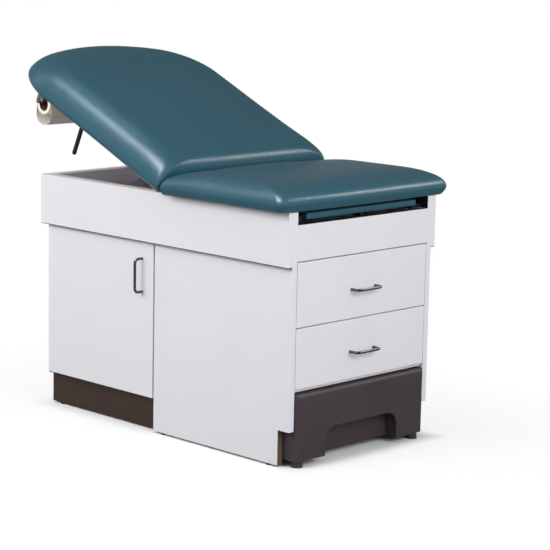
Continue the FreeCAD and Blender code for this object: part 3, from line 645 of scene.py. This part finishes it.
# Colours of the boards, and where they change
WHITE = (0.76, 0.755, 0.785)
BAND = (0.74, 0.75, 0.80)
TAN = (0.86, 0.74, 0.70)
# core brown of raw edges, also laid on as painted shade along the rails' bottom
CORE_AND_SHADE_BROWN = (0.125, 0.085, 0.062)
# painted shade: bluish grey for the tray's inside, which lies in shadow under the backrest
TRAY_SHADE_BLUE = (0.80, 0.80, 0.94)
# painted shade: black for the inside of the slot, which is only in shadow
SLOT_SHADE_BLACK = (0.012, 0.011, 0.012)
# height of the painted shade line at the rails' bottom
SHADE_LINE = 2.2 * MM
SIDE_MARGIN = 0.2 * MM
TRAY_MARGIN = 0.5 * MM
WELL_MARGIN = 1 * MM
NOTCH_TOP = 104 * MM
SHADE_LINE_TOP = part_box("near_rail")[0].z + SHADE_LINE
SLOT_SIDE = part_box("far_side_panel")[0].y + SIDE_MARGIN
SLOT_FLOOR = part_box("foot_apron")[1].z
TRAY_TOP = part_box("tray_floor")[1].z - TRAY_MARGIN
TRAY_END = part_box("partition")[0].x
WELL_TOP = HINGE.z - WELL_MARGIN


def laminate(name):
    finish = Finish(name, WHITE, roughness=0.42)
    finish.shade(finish.noise(scale=5.0), amount=0.06)
    finish.rough(finish.noise(scale=40.0), low=0.36, high=0.50)
    finish.bump(finish.noise(scale=900.0, detail=2.0), distance=0.15 * MM, strength=0.3)
    return finish


def rail_laminate():
    # Tan on top, with a line of core brown along the bottom that is painted shade, for the shadow gap
    # under the rail.
    finish = laminate("rail_laminate")
    finish.paint(finish.facing("Z"), TAN)
    finish.paint(finish.below("Z", SHADE_LINE_TOP), CORE_AND_SHADE_BROWN)
    return finish


def panel_laminate():
    # Banded front edge, core at the notch and underneath, painted black shade in the slot and painted
    # bluish shade in the tray.
    finish = laminate("panel_laminate")
    finish.paint(finish.facing("X"), BAND)
    finish.paint(finish.both(finish.facing("X"), finish.below("Z", NOTCH_TOP)), CORE_AND_SHADE_BROWN)
    finish.paint(finish.facing("Z", -1), CORE_AND_SHADE_BROWN)
    # Inner faces of the slot: painted black shade.
    finish.paint(finish.both(finish.within("Y", SLOT_SIDE), finish.above("Z", SLOT_FLOOR)), SLOT_SHADE_BLACK)
    in_tray = finish.both(finish.within("Y", SLOT_SIDE), finish.below("X", TRAY_END))
    # Inner faces above the tray floor: painted bluish shade.
    finish.paint(finish.both(in_tray, finish.above("Z", TRAY_TOP)), TRAY_SHADE_BLUE)
    return finish


def apron_laminate():
    finish = laminate("apron_laminate")
    # The apron's top, the floor of the slot, is painted black as shade.
    finish.paint(finish.facing("Z"), SLOT_SHADE_BLACK)
    return finish


def tray_laminate():
    # White boards whose faces in the open well carry a painted bluish shade.
    finish = laminate("tray_laminate")
    well = finish.both(finish.above("Z", TRAY_TOP), finish.below("Z", WELL_TOP))
    outside = finish.math("MAXIMUM", finish.facing("X", -1), finish.facing("Y", -1))
    # Well faces: painted bluish shade.
    finish.paint(finish.math("SUBTRACT", well, finish.both(well, outside)), TRAY_SHADE_BLUE)
    return finish


def slot_shade_board():
    # Plywood painted near black as the slot's shade, with its grain kept.
    finish = Finish("slot_shade_board", (0.030, 0.022, 0.018), roughness=0.6)
    grain = finish.grain()
    finish.shade(grain, amount=0.6)
    finish.bump(grain, distance=0.4 * MM, strength=0.4)
    return finish


def kick_brown():
    finish = Finish("kick_brown", (0.048, 0.026, 0.017), roughness=0.45)
    finish.shade(finish.noise(scale=12.0, detail=5.0, stretch=(1, 1, 12)), amount=0.5)
    finish.bump(finish.noise(scale=700.0), distance=0.15 * MM, strength=0.3)
    return finish


def drawer_board():
    finish = Finish("drawer_board", (0.72, 0.72, 0.70), roughness=0.5)
    finish.shade(finish.noise(scale=6.0), amount=0.08)
    finish.bump(finish.noise(scale=600.0), distance=0.1 * MM, strength=0.3)
    return finish


def plywood():
    finish = Finish("plywood", (0.47, 0.31, 0.17), roughness=0.6)
    grain = finish.grain()
    finish.shade(grain, amount=0.7)
    finish.rough(grain, low=0.5, high=0.72)
    finish.bump(grain, distance=0.4 * MM, strength=0.4)
    return finish


def teal_vinyl():
    finish = Finish("teal_vinyl", (0.021, 0.092, 0.130), roughness=0.36)
    finish.shade(finish.noise(scale=4.0), amount=0.12)
    finish.rough(finish.noise(scale=60.0), low=0.33, high=0.41)
    finish.bump(finish.noise(scale=7.0, detail=1.0), distance=0.4 * MM, strength=0.3)
    finish.bump(finish.cells(scale=620.0), distance=0.22 * MM, strength=0.45)
    return finish


def dark_chrome():
    finish = Finish("dark_chrome", (0.13, 0.115, 0.112), roughness=0.22, metallic=1.0)
    finish.rough(finish.noise(scale=90.0), low=0.17, high=0.30)
    finish.bump(finish.noise(scale=1200.0), distance=0.03 * MM, strength=0.3)
    return finish


def zinc_steel():
    finish = Finish("zinc_steel", (0.52, 0.52, 0.53), roughness=0.38, metallic=1.0)
    finish.shade(finish.cells(scale=70.0), amount=0.3)
    finish.rough(finish.noise(scale=150.0), low=0.30, high=0.48)
    return finish


def black_plastic():
    finish = Finish("black_plastic", (0.016, 0.016, 0.018), roughness=0.42)
    finish.rough(finish.noise(scale=200.0), low=0.36, high=0.5)
    finish.bump(finish.noise(scale=900.0), distance=0.1 * MM, strength=0.4)
    return finish


def step_plastic():
    finish = Finish("step_plastic", (0.054, 0.039, 0.044), roughness=0.5)
    finish.shade(finish.noise(scale=9.0), amount=0.3)
    finish.rough(finish.noise(scale=120.0), low=0.44, high=0.58)
    finish.bump(finish.cells(scale=480.0), distance=0.25 * MM, strength=0.5)
    return finish


def paper_white():
    finish = Finish("paper_white", (0.90, 0.87, 0.80), roughness=0.75)
    finish.shade(finish.noise(scale=25.0), amount=0.1)
    creases = finish.noise(scale=260.0, detail=4.0, stretch=(1, 0.3, 1))
    finish.bump(creases, distance=0.4 * MM, strength=0.5)
    return finish


def card_brown():
    finish = Finish("card_brown", (0.17, 0.095, 0.06), roughness=0.8)
    finish.shade(finish.noise(scale=80.0, detail=4.0, stretch=(1, 0.2, 1)), amount=0.4)
    return finish


def painted_strap():
    finish = Finish("painted_strap", (0.10, 0.095, 0.10), roughness=0.4)
    finish.rough(finish.noise(scale=150.0), low=0.34, high=0.5)
    finish.bump(finish.noise(scale=800.0), distance=0.08 * MM, strength=0.4)
    return finish


# Finishes by material slot, and those of single nodes
finishes = {
    "white_laminate": laminate("white_laminate"),
    "kick_brown": kick_brown(),
    "drawer_board": drawer_board(),
    "plywood": plywood(),
    "teal_vinyl": teal_vinyl(),
    "dark_chrome": dark_chrome(),
    "zinc_steel": zinc_steel(),
    "black_plastic": black_plastic(),
    "step_plastic": step_plastic(),
    "paper_white": paper_white(),
    "card_brown": card_brown(),
    "painted_strap": painted_strap(),
}
rails = rail_laminate()
panels = panel_laminate()
tray = tray_laminate()
special = {
    "near_rail": rails,
    "far_rail": rails,
    "head_rail": rails,
    "near_side_panel": panels,
    "far_side_panel": panels,
    "foot_apron": apron_laminate(),
    "head_panel": tray,
    "near_top_board": tray,
    "tray_floor": tray,
    "leg_rest_board": slot_shade_board(),
}


def dress(obj, finish):
    obj.data.materials.clear()
    obj.data.materials.append(finish.material)


for name, node in nodes.items():
    slot = node.data.materials[0].name.split(".")[0]
    dress(node, special.get(name) or finishes[slot])
for piece in (seat_pad, back_pad, leg_pad):
    dress(piece, finishes["teal_vinyl"])


# Studio

MIDDLE = (0.0, 0.0, 0.5)
AMBIENT = 0.46
AMBIENT_TINT = (0.97, 0.98, 1.0)
GLOSS_AMBIENT = 0.16  # strength of the ambient light in reflections
SWEEP_WHITE = -0.02  # where the sweep is white, as the upward part of a direction
SWEEP_TOP = 0.20  # where it ends
FLOOR_SIZE = 14.0  # from the middle to each edge
FLOOR_BOUNCE = 0.22  # grey that the floor throws back at the table
FLOOR_SEEN = 0.9  # grey that the camera sees
FLOOR_ROUGHNESS = 0.9
FLOOR_EDGE = 0.05  # stretch beside the table over which the floor turns mostly white
FLOOR_FAR = 0.7  # distance from which it is all white
FLOOR_GLOW = 0.75  # share of the white at the end of the first stretch


def from_footprint(finish):
    # How far a point of the floor lies outside the table's footprint.
    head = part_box("head_panel")[0].x
    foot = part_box("step_body")[1].x
    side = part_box("far_side_panel")[1].y
    along = finish.beyond("X", (head + foot) / 2, (foot - head) / 2)
    return finish.math("MAXIMUM", along, finish.beyond("Y", 0.0, side))


def floor_finish():
    # Glows white to the camera, apart from the shadow at the table.
    finish = Finish("floor", (FLOOR_BOUNCE, FLOOR_BOUNCE, FLOOR_BOUNCE), FLOOR_ROUGHNESS)
    rays = finish.node("ShaderNodeLightPath")
    finish.paint(rays.outputs["Is Camera Ray"], (FLOOR_SEEN, FLOOR_SEEN, FLOOR_SEEN))
    reach = from_footprint(finish)
    rim = finish.ranged(reach, 0.0, FLOOR_GLOW, 0.0, FLOOR_EDGE)
    further = finish.ranged(reach, 0.0, 1 - FLOOR_GLOW, FLOOR_EDGE, FLOOR_FAR)
    bare = finish.math("ADD", rim, further)
    share = finish.math("MULTIPLY", rays.outputs["Is Camera Ray"], bare)
    glow = finish.node("ShaderNodeEmission")
    finish.mixed(share, finish.shader.outputs["BSDF"], glow.outputs["Emission"], "Material Output")
    return finish


def floor():
    low = -FLOOR_SIZE
    high = FLOOR_SIZE
    corners = [(low, low, 0), (high, low, 0), (high, high, 0), (low, high, 0)]
    mesh = bpy.data.meshes.new("floor")
    mesh.from_pydata(corners, [], [(0, 1, 2, 3)])
    obj = link_object("floor", mesh)
    dress(obj, floor_finish())


def backdrop():
    # White to the camera; reflections see a white sweep that ends a little above the horizon.
    world = bpy.data.worlds.new("studio")
    scene.world = world
    world.use_nodes = True
    sky = NodeTree(world.node_tree)
    rays = sky.node("ShaderNodeLightPath")
    ambient = sky.tree.nodes["Background"]
    ambient.inputs["Color"].default_value = (*AMBIENT_TINT, 1)
    strength = sky.ranged(rays.outputs["Is Glossy Ray"], AMBIENT, GLOSS_AMBIENT, 0.0, 1.0)
    sky.join(strength, ambient.inputs["Strength"])
    white = sky.node("ShaderNodeBackground")
    white.inputs["Color"].default_value = (1, 1, 1, 1)
    place = sky.node("ShaderNodeTexCoord")
    split = sky.node("ShaderNodeSeparateXYZ")
    sky.join(place.outputs["Generated"], split.inputs["Vector"])
    sweep = sky.ranged(split.outputs["Z"], 0.0, 1.0, SWEEP_TOP, SWEEP_WHITE, "SMOOTHSTEP")
    mirrored = sky.math("MAXIMUM", rays.outputs["Is Glossy Ray"], rays.outputs["Is Transmission Ray"])
    seen = sky.math("MAXIMUM", rays.outputs["Is Camera Ray"], sky.both(mirrored, sweep))
    sky.mixed(seen, ambient.outputs["Background"], white.outputs["Background"], "World Output")


def softbox(name, place, aim, size, watts, gloss):
    # A lamp that only lights, or one that only shows in reflections.
    lamp = bpy.data.lights.new(name, "AREA")
    lamp.shape = "RECTANGLE"
    lamp.size, lamp.size_y = size
    lamp.energy = watts
    obj = link_object(name, lamp)
    obj.location = place
    obj.rotation_euler = (Vector(aim) - obj.location).to_track_quat("-Z", "Y").to_euler()
    obj.visible_diffuse = not gloss
    obj.visible_glossy = gloss


def lamps():
    softbox("key", place=(-0.4, -3.4, 2.4), aim=MIDDLE, size=(2.4, 1.8), watts=99, gloss=False)
    softbox("foot_fill", place=(3.6, -0.4, 1.9), aim=MIDDLE, size=(2.2, 1.8), watts=84, gloss=False)
    softbox("head_fill", place=(-3.0, -1.2, 1.3), aim=(-0.4, 0.0, 0.85), size=(1.2, 1.0), watts=20,
            gloss=False)
    softbox("bank", place=(0.1, -1.8, 2.8), aim=(0.1, -1.8, 0), size=(1.8, 2.0), watts=175, gloss=True)
    softbox("strip", place=(1.8, 2.6, 2.6), aim=(0.45, 0.0, 0.75), size=(0.8, 0.8), watts=34, gloss=True)
    softbox("head_side", place=(-2.8, -1.6, 2.6), aim=(0.3, -0.3, 0.75), size=(1.5, 1.2), watts=7,
            gloss=True)


def camera():
    forward = Vector((-math.sin(CAMERA_YAW) * math.cos(CAMERA_PITCH),
                      math.cos(CAMERA_YAW) * math.cos(CAMERA_PITCH), math.sin(CAMERA_PITCH)))
    level = forward.cross(Vector((0, 0, 1))).normalized()
    upright = level.cross(forward)
    right = math.cos(CAMERA_ROLL) * level + math.sin(CAMERA_ROLL) * upright
    up = right.cross(forward)
    turn = Matrix((right, up, -forward)).transposed()
    data = bpy.data.cameras.new("camera")
    data.lens = CAMERA_LENS
    data.sensor_width = SENSOR
    obj = link_object("camera", data)
    obj.location = CAMERA_PLACE
    obj.rotation_euler = turn.to_euler()
    scene.camera = obj


floor()
backdrop()
lamps()
camera()
scene.view_settings.view_transform = "Standard"
